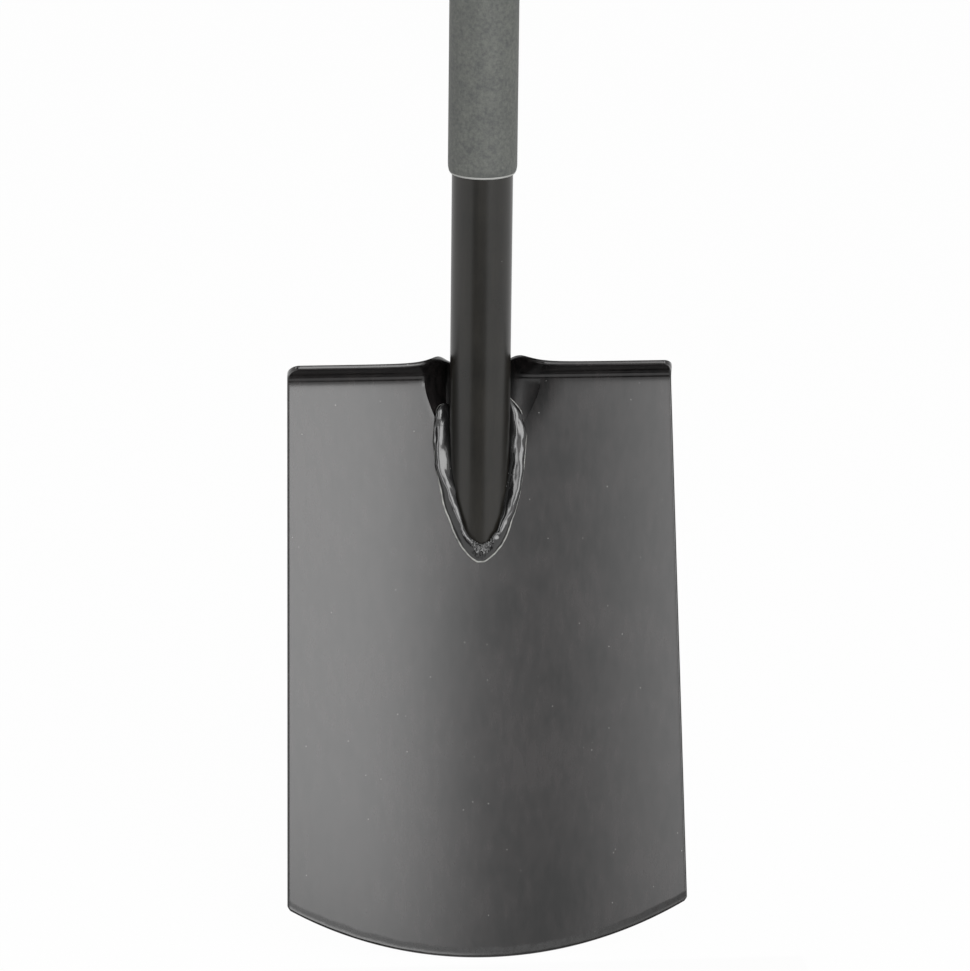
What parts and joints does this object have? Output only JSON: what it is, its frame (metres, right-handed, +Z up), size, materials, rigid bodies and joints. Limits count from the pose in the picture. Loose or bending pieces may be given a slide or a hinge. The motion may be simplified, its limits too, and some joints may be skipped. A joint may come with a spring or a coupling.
{
  "type": "spade",
  "caption": "Digging spade: hollow-fronted pressed steel blade with turned treads, cranked tubular steel shaft in a plastic sleeve, and a moulded D grip.",
  "frame": {"origin": "on the shaft axis, 50 mm above the sleeve's lower end, where a rack clip grips the sleeve", "axes": "+Z up along the shaft towards the grip, -Y towards the hollow front of the blade, +X to the right seen from the front"},
  "size_m": [0.19, 0.0893, 1.0205],
  "materials": {
    "blade_paint": "satin",
    "weld_paint": "gloss",
    "tube_paint": "satin",
    "sleeve_plastic": "fine moulded grain",
    "plug_plastic": "matte",
    "handle_plastic": "matte",
    "grip_rubber": "matte",
    "rivet_steel": "brushed"
  },
  "bodies": {
    "root": {"blade": "blade_paint", "front_weld": "weld_paint", "rear_weld": "weld_paint", "shaft_tube": "tube_paint", "shaft_sleeve": "sleeve_plastic", "tube_plug": "plug_plastic", "handle_frame": "handle_plastic", "grip_cover": "grip_rubber", "handle_rivet": "rivet_steel", "rivet_washers": "rivet_steel"}
  },
  "joints": []
}
